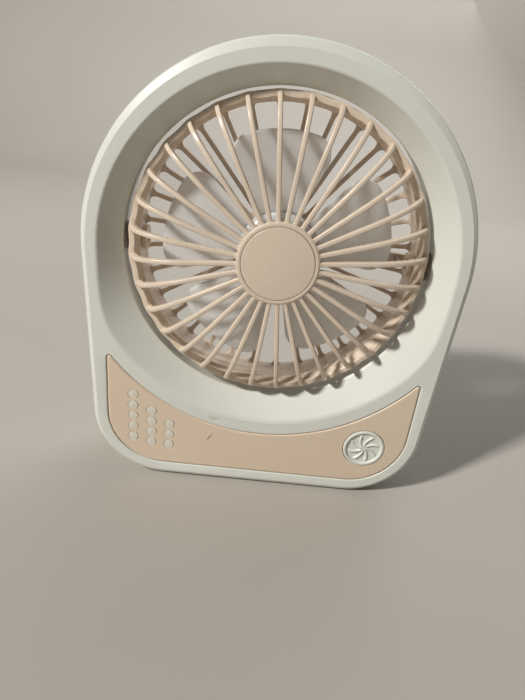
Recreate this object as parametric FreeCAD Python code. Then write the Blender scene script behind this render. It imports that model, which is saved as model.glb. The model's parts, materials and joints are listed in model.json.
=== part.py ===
"""Desk fan: a round cage head that tilts inside an arched stand. Lengths are in millimetres.

+Z is up, the front faces -Y and +X is to the right. The origin is on the table, under the
middle of the stand. The head's own axis runs along Y and its tilt axis runs along X.
"""
import FreeCAD, Part
import math
import os
from FreeCAD import Vector

os.makedirs("parts", exist_ok=True)

# Stand
WIDTH = 171.2
FOOT_PROUD = 1.0            # the rubber feet lift the stand this far off the table
HEAD_Z = 121.0              # height of the head's axis and of the tilt axis
ARCH_Z = 119.4              # centre of the stand's round top
SIDE_TAPER = 2.0            # degrees; the sides lean in towards the foot
FRONT_Y = -19.0             # front face
BACK_Y = 25.5               # back face
SPLIT_Y = 0.0               # the two shells meet here, in line with the tilt axis
WALL = 2.2
CORNER_R = 35.4
FRONT_ROUND = 4.5
BACK_ROUND = 5.0

# Opening: a shallow dish that slopes in to a round lip, then a tunnel that widens backwards
RIM_TOP_Z = 117.0           # centre and radius of the rim's upper arc
RIM_R = 78.8
RIM_LOW_Z = 127.0           # centre and radius of the rim's lower arc
RIM_LOW_R = 87.8
RIM_BLEND = 24.0            # how sharply the two arcs turn into each other
LIP_Z = 119.9               # centre of the lip and the tunnel, a little below the head's axis
LIP_R = 69.0
LIP_Y = -11.0
TUNNEL_BACK_R = 74.0

# Control panel, let into the front face
PANEL_HALF_WIDTH = 75.6
PANEL_BOTTOM_Z = 8.0
PANEL_CORNER_R = 28.0
PANEL_ARC_Z = 124.7
PANEL_ARC_R = 93.0
PANEL_TIP_R = 1.5
PANEL_DEPTH = 2.4
PANEL_GAP = 0.2
PANEL_FLOOR = 2.0
BUTTON_X = 54.6
BUTTON_Z = 29.0
BUTTON_R = 10.4
BUTTON_TRAVEL = 0.6
STUD_R = 2.5
STUD_PITCH = 6.1
STUD_COLUMNS = ((-62.8, 47.4, 5), (-53.7, 39.0, 4), (-44.7, 32.1, 3))   # x, top z, how many

# Inside the stand
SCREW_PLACES = [(-74.5, 60.0), (74.5, 60.0), (-62.0, 13.0), (62.0, 13.0)]
BOSS_R = 2.9                # front bosses, with pilot holes
REAR_BOSS_R = 3.8
PILOT_R = 1.0
SCREW_R = 0.95
SCREW_HOLE_R = 1.3
SCREW_HEAD_R = 2.2
SCREW_HEAD_HEIGHT = 1.6
SCREW_SEAT_Y = 6.0
FOOT_R = 3.6
FOOT_PLACES = [(-38.0, -10.5), (-38.0, 16.5), (38.0, -10.5), (38.0, 16.5)]

BOARD_Y = -8.6              # front face of the control board
BOARD_THICK = 1.6
BOARD_BOX = (16.0, 71.0, 18.0, 41.0)        # x0, x1, z0, z1
BOARD_SCREWS = ((20.0, 37.0), (67.0, 22.0))
SWITCH_FRONT_Y = BOARD_Y - 3.4
PLUNGER_FRONT_Y = SWITCH_FRONT_Y - 0.9
PLUNGER_R = 1.74
FLOOR_BACK_Y = FRONT_Y + PANEL_DEPTH + PANEL_FLOOR
BUTTON_FRONT_Y = FRONT_Y - 0.4
BUTTON_RIM = 1.3
BUTTON_NECK_R = 8.3
BUTTON_HOLE_R = 8.6
BUTTON_FLANGE_R = 9.4
PORT_X = 26.0
PORT_Z = 12.0
PORT_HALF_WIDTH = 4.47
PORT_HALF_HEIGHT = 1.6
PORT_WALL = 0.3
BATTERY_R = 9.1
BATTERY_LENGTH = 65.0
BATTERY_X = -18.0
BATTERY_Y = 11.0
BATTERY_Z = 15.5
BATTERY_RIB_X = 22.0        # ribs and pads, from the middle of the cell

# Head
BAR_COUNT = 32
BAR_WIDTH = 2.0
BAR_DEPTH = 3.0
HUB_Y = -25.5               # front of the hub and of its cap
HUB_R = 18.0
CAP_R = 15.7
CAP_THICK = 2.0
BEND_START_R = 40.0         # the bars run flat to here, then curve back to the ring
RING_R = 66.7
RING_INNER_R = 63.5
RING_FRONT_Y = -12.0
RING_JOIN_Y = -7.0          # front grille and rear grille meet here
RING_BACK_Y = 11.0
KNUCKLE = 0.4               # the bar ends stand this far outside the ring
SNAP_ANGLES = (45.0, 135.0, 225.0, 315.0)   # where the front grille clicks into the rear one
SNAP_HEIGHT = 0.45
SNAP_WIDTH = 9.0
REAR_HUB_R = 19.0
REAR_HUB_Y = 18.5

# Motor and impeller
MOTOR_R = 12.2
MOTOR_FRONT_Y = 4.8
MOTOR_LENGTH = 12.4
MOTOR_SCREW_Z = 8.0
MOTOR_SCREW_R = 0.9
COVER_SCREW_R = 0.6
COVER_SCREW_HEAD_R = 1.1
SHAFT_R = 1.0
CUP_R = 12.5
CUP_WALL = 2.3
IMPELLER_R = 52.3
IMPELLER_HUB_R = 18.5
IMPELLER_FRONT_Y = -8.5
BLADE_COUNT = 5
BLADE_HALF_ANGLE = 28.5     # degrees
BLADE_TURN = -4.0           # degrees clockwise from straight up, where the first blade rests
BLADE_THICK = 1.4
BLADE_CORNER_R = 9.0
BLADE_MID_Y = -3.4
BLADE_RISE = 5.0            # half of the blade's depth along the head's axis
BLADE_CAMBER = 1.0

# Tilt pivots
PIN_R = 4.0
PIN_BORE_R = 2.2
PIN_CLEARANCE = 0.05
BUSH_R = 5.6
BUSH_INNER_X = 69.0
BUSH_OUTER_X = 75.4
PIN_END_X = 78.4
PIN_FLANGE_R = 5.6
PIN_PAD_R = 5.2
PIVOT_BOSS_R = 8.6
BUSH_COLLAR_R = 6.3

SMALL = 0.01
X_AXIS = Vector(1, 0, 0)
Y_AXIS = Vector(0, 1, 0)
Z_AXIS = Vector(0, 0, 1)


# ---------------------------------------------------------------- helpers

def save(name, *solids):
    """Write one sub-part: a single solid, or a group of separate ones."""
    shape = solids[0] if len(solids) == 1 else Part.makeCompound(list(solids))
    box = shape.BoundBox
    print(f"{name:24s} solids {len(shape.Solids):3d} valid {shape.isValid()} volume {shape.Volume:9.1f}"
          f"  x {box.XMin:7.2f} {box.XMax:7.2f}  y {box.YMin:7.2f} {box.YMax:7.2f}"
          f"  z {box.ZMin:7.2f} {box.ZMax:7.2f}")
    shape.exportStep(f"parts/{name}.step")


def one(shape):
    """The single solid of a boolean's result, with merged faces."""
    clean = shape.removeSplitter()
    solids = sorted(clean.Solids, key=lambda s: s.Volume)
    return solids[-1]


def rod_y(radius, y0, y1, x=0.0, z=HEAD_Z):
    return Part.makeCylinder(radius, y1 - y0, Vector(x, y0, z), Y_AXIS)


def rod_x(radius, x0, x1, y=0.0, z=HEAD_Z):
    return Part.makeCylinder(radius, x1 - x0, Vector(x0, y, z), X_AXIS)


def tube_y(radius, bore, y0, y1, x=0.0, z=HEAD_Z):
    return rod_y(radius, y0, y1, x, z).cut(rod_y(bore, y0 - 1, y1 + 1, x, z))


def tube_x(radius, bore, x0, x1, y=0.0, z=HEAD_Z):
    return rod_x(radius, x0, x1, y, z).cut(rod_x(bore, x0 - 1, x1 + 1, y, z))


def cone_y(r0, r1, y0, y1, z=HEAD_Z):
    return Part.makeCone(r0, r1, y1 - y0, Vector(0, y0, z), Y_AXIS)


def block(x0, x1, y0, y1, z0, z1):
    return Part.makeBox(x1 - x0, y1 - y0, z1 - z0, Vector(x0, y0, z0))


def prism(points_and_arcs, y0, y1):
    """Extrude a closed outline of (kind, points) items in the XZ plane from y0 to y1."""
    edges = []
    for kind, points in points_and_arcs:
        places = [Vector(x, y0, z) for x, z in points]
        if kind == "line":
            edges.append(Part.LineSegment(*places).toShape())
        else:
            edges.append(Part.Arc(*places).toShape())
    face = Part.Face(Part.Wire(edges))
    return face.extrude(Vector(0, y1 - y0, 0))


def on_plane(shape, y):
    """Edges that lie wholly in one plane of constant Y."""
    found = []
    for edge in shape.Edges:
        box = edge.BoundBox
        if abs(box.YMin - y) < 1e-4 and abs(box.YMax - y) < 1e-4:
            found.append(edge)
    return found


def turned(shape, degrees):
    """A copy turned about the head's axis, clockwise as seen from the front."""
    copy = shape.copy()
    copy.rotate(Vector(0, 0, HEAD_Z), Y_AXIS, degrees)
    return copy


def mirrored(shape):
    return shape.mirror(Vector(0, 0, 0), X_AXIS)


def corner_point(centre_x, centre_z, radius, degrees):
    turn = math.radians(degrees)
    return centre_x + radius * math.sin(turn), centre_z + radius * math.cos(turn)


def wire_tube(points, radius, bend_factor=0.45):
    """A round lead along straight runs joined by tangent arcs."""
    places = [Vector(*p) for p in points]
    edges = []
    start = places[0]
    for before, here, after in zip(places, places[1:], places[2:]):
        into = (here - before).normalize()
        out = (after - here).normalize()
        turn = into.getAngle(out)
        shorter = min((here - before).Length, (after - here).Length)
        cut = bend_factor * shorter
        bend = cut / math.tan(turn / 2)
        arc_start = here - into * cut
        arc_end = here + out * cut
        inward = (out - into).normalize()
        middle = here + inward * (bend / math.cos(turn / 2) - bend)
        edges.append(Part.LineSegment(start, arc_start).toShape())
        edges.append(Part.Arc(arc_start, middle, arc_end).toShape())
        start = arc_end
    edges.append(Part.LineSegment(start, places[-1]).toShape())
    path = Part.Wire(edges)
    section = Part.Wire(Part.makeCircle(radius, places[0], places[1] - places[0]))
    return path.makePipeShell([section], True, False)


# ---------------------------------------------------------------- stand outlines

def stand_outline(inset):
    """Arched outline of the stand, moved inwards by inset."""
    arch_r = WIDTH / 2 - inset
    low = FOOT_PROUD + inset
    lean = math.radians(SIDE_TAPER)
    corner_z = FOOT_PROUD + CORNER_R
    corner_x = (WIDTH / 2 - CORNER_R - (ARCH_Z - corner_z) * math.sin(lean)) / math.cos(lean)
    radius = CORNER_R - inset
    right = [corner_point(corner_x, corner_z, radius, a) for a in (90 + SIDE_TAPER, 135, 180)]
    left = [(-x, z) for x, z in reversed(right)]
    side_x, side_z = corner_point(0, ARCH_Z, arch_r, 90 + SIDE_TAPER)
    return [("arc", [(-side_x, side_z), (0, ARCH_Z + arch_r), (side_x, side_z)]),
            ("line", [(side_x, side_z), right[0]]),
            ("arc", right),
            ("line", [(corner_x, low), (-corner_x, low)]),
            ("arc", left),
            ("line", [left[-1], (-side_x, side_z)])]


def rim_radius(angle):
    """Distance of the dish's rim from the head's axis, at an angle from straight up."""
    side, up = abs(math.sin(angle)), math.cos(angle)
    drop = HEAD_Z - RIM_TOP_Z
    upper = -up * drop + math.sqrt(RIM_R ** 2 - (drop * side) ** 2)
    if upper * up < -drop:
        upper = RIM_R / side
    rise = RIM_LOW_Z - HEAD_Z
    lower = up * rise + math.sqrt(RIM_LOW_R ** 2 - (rise * side) ** 2)
    return (upper ** -RIM_BLEND + lower ** -RIM_BLEND) ** (-1 / RIM_BLEND)


def lip_radius(angle):
    """Distance of the dish's lip from the head's axis."""
    drop = HEAD_Z - LIP_Z
    return -math.cos(angle) * drop + math.sqrt(LIP_R ** 2 - (drop * math.sin(angle)) ** 2)


def closed_curve(radius_at, y, count=72):
    points = []
    for i in range(count):
        angle = 2 * math.pi * i / count
        radius = radius_at(angle)
        points.append(Vector(radius * math.sin(angle), y, HEAD_Z + radius * math.cos(angle)))
    curve = Part.BSplineCurve()
    curve.interpolate(Points=points, PeriodicFlag=True)
    return Part.Wire(curve.toShape())


def opening(grow, back):
    """The space of the dish and tunnel, enlarged by grow and moved back by back."""
    slope = (TUNNEL_BACK_R - LIP_R) / (BACK_Y - LIP_Y)
    rim = closed_curve(lambda a: rim_radius(a) + grow, FRONT_Y + back)
    lip = closed_curve(lambda a: lip_radius(a) + grow, LIP_Y + back)
    dish = Part.makeLoft([rim, lip], True, True)
    wide = TUNNEL_BACK_R + grow + slope
    tunnel = cone_y(LIP_R + grow, wide, LIP_Y + back - SMALL, BACK_Y + back + 1, LIP_Z)
    return dish.fuse(tunnel)


def panel_outline(inset):
    half = PANEL_HALF_WIDTH - inset
    low = PANEL_BOTTOM_Z + inset
    arc = PANEL_ARC_R + inset
    tip_z = PANEL_ARC_Z - math.sqrt(arc ** 2 - half ** 2)
    corner_x = PANEL_HALF_WIDTH - PANEL_CORNER_R
    corner_z = PANEL_BOTTOM_Z + PANEL_CORNER_R
    radius = PANEL_CORNER_R - inset
    right = [corner_point(corner_x, corner_z, radius, a) for a in (90, 135, 180)]
    left = [(-x, z) for x, z in reversed(right)]
    return [("arc", [(-half, tip_z), (0, PANEL_ARC_Z - arc), (half, tip_z)]),
            ("line", [(half, tip_z), right[0]]),
            ("arc", right),
            ("line", [(corner_x, low), (-corner_x, low)]),
            ("arc", left),
            ("line", [left[-1], (-half, tip_z)])]


def panel_block(inset, y0, y1):
    """The panel's crescent with rounded tips."""
    shape = prism(panel_outline(inset), y0, y1)
    tips = []
    for edge in shape.Edges:
        box = edge.BoundBox
        upright = box.XMax - box.XMin < 1e-4 and box.ZMax - box.ZMin < 1e-4
        if upright and box.ZMin > PANEL_BOTTOM_Z + PANEL_CORNER_R + 5:
            tips.append(edge)
    return shape.makeFillet(PANEL_TIP_R, tips)


# ---------------------------------------------------------------- stand

def pivot_housing(y0, y1):
    """Bosses that hold the two pivot bushes, between y0 and y1."""
    boss = rod_x(PIVOT_BOSS_R, BUSH_INNER_X + 1.2, BUSH_OUTER_X + 0.6)
    slab = block(60, 90, y0, y1, HEAD_Z - 20, HEAD_Z + 20)
    right = boss.common(slab)
    return [right, mirrored(right)]


def pivot_seats():
    """The space of the bushes and of the lead behind them."""
    seat = rod_x(BUSH_R + 0.02, BUSH_INNER_X - 2, BUSH_OUTER_X + 5)
    collar = rod_x(BUSH_COLLAR_R + 0.1, BUSH_INNER_X - 2, BUSH_INNER_X + 1.4)
    right = seat.fuse(collar)
    return [right, mirrored(right)]


def make_front_housing():
    body = prism(stand_outline(0), FRONT_Y, SPLIT_Y)
    body = body.makeFillet(FRONT_ROUND, on_plane(body, FRONT_Y))
    cavity = prism(stand_outline(WALL), FRONT_Y + WALL, SPLIT_Y + 1).cut(opening(WALL, 1.4))
    shell = body.cut(cavity)
    floor = panel_block(-2.0, FRONT_Y + 1.0, FLOOR_BACK_Y)
    bosses = [rod_y(BOSS_R, FRONT_Y + 3.5, SPLIT_Y, x, z) for x, z in SCREW_PLACES]
    posts = [rod_y(2.6, FLOOR_BACK_Y - 1, BOARD_Y, x, z) for x, z in BOARD_SCREWS]
    inner = prism(stand_outline(1.0), FRONT_Y + 1.0, SPLIT_Y)
    extra = [b.common(inner) for b in bosses] + posts + pivot_housing(-9.5, SPLIT_Y)
    shell = shell.multiFuse([floor] + extra)
    shell = shell.cut(opening(0, 0))
    holes = [panel_block(0.0, FRONT_Y - 1, FRONT_Y + PANEL_DEPTH)]
    holes += [rod_y(PILOT_R, SPLIT_Y - 10, SPLIT_Y + 1, x, z) for x, z in SCREW_PLACES]
    holes += [rod_y(0.7, BOARD_Y - 4.5, BOARD_Y + 1, x, z) for x, z in BOARD_SCREWS]
    holes.append(rod_y(BUTTON_HOLE_R, FRONT_Y, FLOOR_BACK_Y + 1, BUTTON_X, BUTTON_Z))
    for x, top, count in STUD_COLUMNS:
        for i in range(count):
            holes.append(rod_y(1.3, FRONT_Y, FLOOR_BACK_Y - 0.6, x, top - i * STUD_PITCH))
    holes += pivot_seats()
    shell = shell.cut(Part.makeCompound(holes))
    save("front_housing", one(shell))


def make_rear_housing():
    body = prism(stand_outline(0), SPLIT_Y, BACK_Y)
    body = body.makeFillet(BACK_ROUND, on_plane(body, BACK_Y))
    cavity = prism(stand_outline(WALL), SPLIT_Y - 1, BACK_Y - WALL).cut(opening(WALL, 0))
    shell = body.cut(cavity)
    inner = prism(stand_outline(1.0), SPLIT_Y, BACK_Y - 1.0)
    bosses = [rod_y(REAR_BOSS_R, SPLIT_Y, BACK_Y - 1, x, z).common(inner) for x, z in SCREW_PLACES]
    ribs = []
    for x in (BATTERY_X - BATTERY_RIB_X, BATTERY_X + BATTERY_RIB_X):
        ribs.append(block(x - 1, x + 1, BATTERY_Y, BACK_Y - 1, FOOT_PROUD + 1, BATTERY_Z + 8))
    shell = shell.multiFuse(bosses + ribs + pivot_housing(SPLIT_Y, 9.5))
    shell = shell.cut(opening(0, 0))
    holes = []
    for x, z in SCREW_PLACES:
        holes.append(rod_y(SCREW_HOLE_R, SPLIT_Y - 1, BACK_Y, x, z))
        holes.append(rod_y(SCREW_HEAD_R + 0.3, SCREW_SEAT_Y, BACK_Y + 1, x, z))
    holes.append(rod_x(BATTERY_R + 0.1, BATTERY_X - 34, BATTERY_X + 34, BATTERY_Y, BATTERY_Z))
    slot = block(PORT_X - 3.0, PORT_X + 3.0, BACK_Y - 6, BACK_Y + 1, PORT_Z - 1.8, PORT_Z + 1.8)
    holes.append(slot)
    holes += [rod_y(1.8, BACK_Y - 6, BACK_Y + 1, PORT_X + s * 3.0, PORT_Z) for s in (-1, 1)]
    holes += pivot_seats()
    shell = shell.cut(Part.makeCompound(holes))
    save("rear_housing", one(shell))


def make_housing_screws():
    screws = []
    for x, z in SCREW_PLACES:
        shank = rod_y(SCREW_R, SPLIT_Y - 8, SCREW_SEAT_Y, x, z)
        head = rod_y(SCREW_HEAD_R, SCREW_SEAT_Y, SCREW_SEAT_Y + SCREW_HEAD_HEIGHT, x, z)
        recess = block(x - 1.2, x + 1.2, SCREW_SEAT_Y + 0.8, SCREW_SEAT_Y + 2, z - 0.3, z + 0.3)
        cross = block(x - 0.3, x + 0.3, SCREW_SEAT_Y + 0.8, SCREW_SEAT_Y + 2, z - 1.2, z + 1.2)
        screws.append(shank.fuse(head).cut(recess).cut(cross))
    save("housing_screws", *screws)


def make_feet():
    feet = []
    for x, y in FOOT_PLACES:
        pad = Part.makeCylinder(FOOT_R, FOOT_PROUD, Vector(x, y, 0), Z_AXIS)
        feet.append(pad.makeFillet(0.3, [pad.Edges[2]]))
    save("rubber_feet", *feet)


# ---------------------------------------------------------------- control panel

def stud_places():
    return [(x, top - i * STUD_PITCH) for x, top, count in STUD_COLUMNS for i in range(count)]


def make_control_panel():
    panel = panel_block(PANEL_GAP, FRONT_Y, FRONT_Y + PANEL_DEPTH)
    holes = [rod_y(STUD_R + 0.05, FRONT_Y - 1, FRONT_Y + 4, x, z) for x, z in stud_places()]
    holes.append(rod_y(BUTTON_R + 0.25, FRONT_Y - 1, FRONT_Y + 4, BUTTON_X, BUTTON_Z))
    save("control_panel", one(panel.cut(Part.makeCompound(holes))))


def make_studs():
    studs = []
    for x, z in stud_places():
        head = rod_y(STUD_R, FRONT_Y - 0.3, FRONT_Y + PANEL_DEPTH, x, z)
        groove = tube_y(1.9, 1.0, FRONT_Y - 1, FRONT_Y, x, z)
        stem = rod_y(1.2, FRONT_Y + PANEL_DEPTH, FLOOR_BACK_Y - 0.8, x, z)
        studs.append(head.cut(groove).fuse(stem))
    save("indicator_studs", *studs)


def make_power_button():
    x, z = BUTTON_X, BUTTON_Z
    back = FRONT_Y + PANEL_DEPTH - BUTTON_TRAVEL - 0.3
    cap = rod_y(BUTTON_R, BUTTON_FRONT_Y, back, x, z)
    dish = rod_y(BUTTON_R - BUTTON_RIM, BUTTON_FRONT_Y - 1, BUTTON_FRONT_Y + 0.5, x, z)
    neck = rod_y(BUTTON_NECK_R, back, FLOOR_BACK_Y + 0.1, x, z)
    flange = rod_y(BUTTON_FLANGE_R, FLOOR_BACK_Y + 0.1, FLOOR_BACK_Y + 1.1, x, z)
    hollow = tube_y(7.0, 1.6, back + 0.2, FLOOR_BACK_Y + 3, x, z)
    stem = rod_y(1.6, FLOOR_BACK_Y + 0.9, PLUNGER_FRONT_Y, x, z)
    vanes = []
    for i in range(8):
        vane = block(x - 0.45, x + 0.45, BUTTON_FRONT_Y + 0.1, BUTTON_FRONT_Y + 0.7, z + 1.5, z + 8.4)
        vane.rotate(Vector(x, 0, z), Y_AXIS, i * 45.0)
        vanes.append(vane)
    button = cap.cut(dish).multiFuse([neck, flange]).cut(hollow).fuse(stem)
    save("power_button", one(button.multiFuse(vanes)))
    body = block(x - 3, x + 3, SWITCH_FRONT_Y, BOARD_Y, z - 3, z + 3)
    well = rod_y(PLUNGER_R + 0.06, SWITCH_FRONT_Y - 1, BOARD_Y - 1.0, x, z)
    save("tact_switch", one(body.cut(well)))
    save("switch_plunger", rod_y(PLUNGER_R, PLUNGER_FRONT_Y, BOARD_Y - 1.7, x, z))


def make_board():
    x0, x1, z0, z1 = BOARD_BOX
    back = BOARD_Y + BOARD_THICK
    board = block(x0, x1, BOARD_Y, back, z0, z1)
    for x, z in BOARD_SCREWS:
        board = board.cut(rod_y(1.1, BOARD_Y - 1, back + 1, x, z))
    save("control_board", one(board))
    screws = []
    for x, z in BOARD_SCREWS:
        screws.append(rod_y(0.68, BOARD_Y - 4, back, x, z).fuse(rod_y(1.9, back, back + 1.3, x, z)))
    save("board_screws", *screws)
    chips = [block(34, 39, back, back + 1.5, 28, 33), block(44, 48, back, back + 2.2, 27, 31),
             block(28, 31, back, back + 1.2, 24, 26), block(52, 55, back, back + 1.2, 34, 36)]
    save("board_chips", *chips)
    save("lead_socket", block(58, 66, back, back + 5.0, 33.5, 38.5))


def make_charge_port():
    """USB-C receptacle on a small board of its own, facing out of the back."""
    y0, y1 = BACK_Y - 8.6, BACK_Y - 1.25
    half = PORT_HALF_WIDTH - PORT_HALF_HEIGHT

    def racetrack(grow, a, b):
        radius = PORT_HALF_HEIGHT + grow
        middle = block(PORT_X - half, PORT_X + half, a, b, PORT_Z - radius, PORT_Z + radius)
        ends = [rod_y(radius, a, b, PORT_X + s * half, PORT_Z) for s in (-1, 1)]
        return middle.multiFuse(ends)

    shell = racetrack(0, y0, y1).cut(racetrack(-PORT_WALL, y0 + 0.8, y1 + 1))
    save("charge_port_shell", one(shell))
    tongue = block(PORT_X - 3.3, PORT_X + 3.3, y0 + 0.8, y1 - 0.8, PORT_Z - 0.35, PORT_Z + 0.35)
    save("charge_port_tongue", tongue)
    low = PORT_Z - PORT_HALF_HEIGHT
    board = block(PORT_X - 7.5, PORT_X + 7.5, y0 - 6, y1 - 3.0, low - 1.2, low)
    save("charge_port_board", board)


def make_battery():
    x0 = BATTERY_X - BATTERY_LENGTH / 2
    x1 = BATTERY_X + BATTERY_LENGTH / 2
    cell = rod_x(BATTERY_R, x0, x1, BATTERY_Y, BATTERY_Z)
    nub = rod_x(3.0, x1, x1 + 0.9, BATTERY_Y, BATTERY_Z)
    save("battery_cell", one(cell.fuse(nub)))
    straps = []
    for x in (BATTERY_X - BATTERY_RIB_X, BATTERY_X + BATTERY_RIB_X):
        ring = tube_x(BATTERY_R + 1.2, BATTERY_R, x - 4.5, x - 1.2, BATTERY_Y, BATTERY_Z)
        keep = block(x - 10, x + 10, BATTERY_Y - 20, BATTERY_Y - 0.1, 0, 60)
        straps.append(one(ring.common(keep)))
    save("battery_pads", *straps)


# ---------------------------------------------------------------- tilt pivots

def make_pivots():
    bush = tube_x(BUSH_R, PIN_R + PIN_CLEARANCE, BUSH_INNER_X, BUSH_OUTER_X)
    collar = tube_x(BUSH_COLLAR_R, PIN_R + PIN_CLEARANCE, BUSH_INNER_X, BUSH_INNER_X + 1.3)
    bush = one(bush.fuse(collar))
    pin = tube_x(PIN_R, PIN_BORE_R, RING_INNER_R - 2.2, PIN_END_X)
    flange = tube_x(PIN_FLANGE_R, PIN_BORE_R, RING_INNER_R - 3.4, RING_INNER_R - 1.4)
    pad = tube_x(PIN_PAD_R, PIN_BORE_R, RING_R - 0.6, BUSH_INNER_X - 0.4)
    groove = tube_x(PIN_R + 1, PIN_R - 0.6, PIN_END_X - 1.6, PIN_END_X - 0.8)
    pin = one(pin.fuse(flange).cut(groove))
    washer = tube_x(5.4, PIN_R + 0.2, BUSH_OUTER_X, PIN_END_X - 1.6)
    clip = tube_x(6.0, PIN_R - 0.6, PIN_END_X - 1.6, PIN_END_X - 0.8)
    clip = clip.cut(block(PIN_END_X - 3, PIN_END_X, -1.5, 1.5, HEAD_Z - 9, HEAD_Z))
    clip = one(clip)
    for side, turn in (("right", lambda s: s), ("left", mirrored)):
        save(f"{side}_pivot_bush", turn(bush))
        save(f"{side}_pivot_pin", turn(pin))
        save(f"{side}_friction_washer", turn(washer))
        save(f"{side}_pivot_clip", turn(clip))
    return pad


# ---------------------------------------------------------------- head

def bar_angles():
    return [(i + 0.5) * 360.0 / BAR_COUNT for i in range(BAR_COUNT)]


def bar_front_y(radius):
    """Front of a front bar: flat, then a quarter ellipse back to the ring."""
    flat = HUB_Y + 0.7
    reach = RING_R + KNUCKLE - BEND_START_R
    part = min(max((radius - BEND_START_R) / reach, 0.0), 1.0)
    return flat + (RING_FRONT_Y + 1.0 - flat) * (1 - math.sqrt(1 - part ** 2))


def snap_lugs(height, spare):
    """Four low lugs round the front grille's spigot, or with spare the recesses they click into."""
    low, high = RING_JOIN_Y + 0.2 - spare, RING_JOIN_Y + 0.8 + spare
    ring = tube_y(RING_INNER_R + height + spare, RING_INNER_R - 0.4, low, high)
    width = SNAP_WIDTH + 4 * spare
    window = block(-width / 2, width / 2, low - 1, high + 1, HEAD_Z + 50, HEAD_Z + 70)
    return [ring.common(turned(window, a)) for a in SNAP_ANGLES]


def front_bar():
    """One front bar along +Z: a curved strip, extruded across its width."""
    outer_r = RING_R + KNUCKLE
    steps = [BEND_START_R + (outer_r - BEND_START_R) * math.sin(math.radians(a)) for a in range(0, 91, 15)]
    front = [Vector(-BAR_WIDTH / 2, bar_front_y(r), HEAD_Z + r) for r in steps]
    back = []
    for i, r in enumerate(steps):
        turn = math.radians(15 * i)
        back.append(Vector(-BAR_WIDTH / 2, bar_front_y(r) + BAR_DEPTH * math.cos(turn),
                           HEAD_Z + r - BAR_DEPTH * math.sin(turn)))
    root = HUB_R - 1.5
    start_front = Vector(-BAR_WIDTH / 2, bar_front_y(root), HEAD_Z + root)
    start_back = Vector(-BAR_WIDTH / 2, bar_front_y(root) + BAR_DEPTH, HEAD_Z + root)
    foot_front = Vector(-BAR_WIDTH / 2, RING_JOIN_Y, HEAD_Z + outer_r)
    foot_back = Vector(-BAR_WIDTH / 2, RING_JOIN_Y, HEAD_Z + outer_r - BAR_DEPTH)
    outline = [start_front] + front + [foot_front, foot_back] + list(reversed(back)) + [start_back]
    face = Part.Face(Part.makePolygon(outline + [start_front]))
    return face.extrude(Vector(BAR_WIDTH, 0, 0))


def make_front_grille():
    hub = rod_y(HUB_R, HUB_Y + 0.4, HUB_Y + 4.0)
    crown = rod_y(HUB_R - 0.6, HUB_Y, HUB_Y + 1)
    ring = tube_y(RING_R, RING_INNER_R - 0.8, RING_FRONT_Y, RING_JOIN_Y)
    spigot = tube_y(RING_INNER_R - 0.2, RING_INNER_R - 1.6, RING_JOIN_Y - 2, RING_JOIN_Y + 1.0)
    bar = front_bar()
    bars = [turned(bar, a) for a in bar_angles()]
    grille = hub.multiFuse([crown, ring, spigot] + snap_lugs(SNAP_HEIGHT, 0) + bars)
    seat = rod_y(CAP_R + 0.15, HUB_Y - 1, HUB_Y + CAP_THICK)
    socket = rod_y(1.6, HUB_Y, HUB_Y + 3.2)
    save("front_grille", one(grille.cut(seat).cut(socket)))
    cap = rod_y(CAP_R, HUB_Y, HUB_Y + CAP_THICK)
    cap = cap.makeChamfer(0.4, on_plane(cap, HUB_Y))
    save("hub_cap", one(cap.fuse(rod_y(1.5, HUB_Y + CAP_THICK, HUB_Y + 3.0))))


def rear_front_y(radius):
    """Front face of the rear bars, which bulge backwards towards the middle."""
    part = (radius - REAR_HUB_R) / (RING_R - REAR_HUB_R)
    return RING_BACK_Y - 2.5 + 4.5 * (1 - part ** 2)


def rear_bar(width=BAR_WIDTH, depth=2.6):
    radii = [REAR_HUB_R - 2.5 + (RING_INNER_R + 1.0 - REAR_HUB_R + 2.5) * i / 5 for i in range(6)]
    front = [Vector(-width / 2, rear_front_y(r), HEAD_Z + r) for r in radii]
    back = [Vector(-width / 2, rear_front_y(r) + depth, HEAD_Z + r) for r in reversed(radii)]
    face = Part.Face(Part.makePolygon(front + back + [front[0]]))
    return face.extrude(Vector(width, 0, 0))


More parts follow.
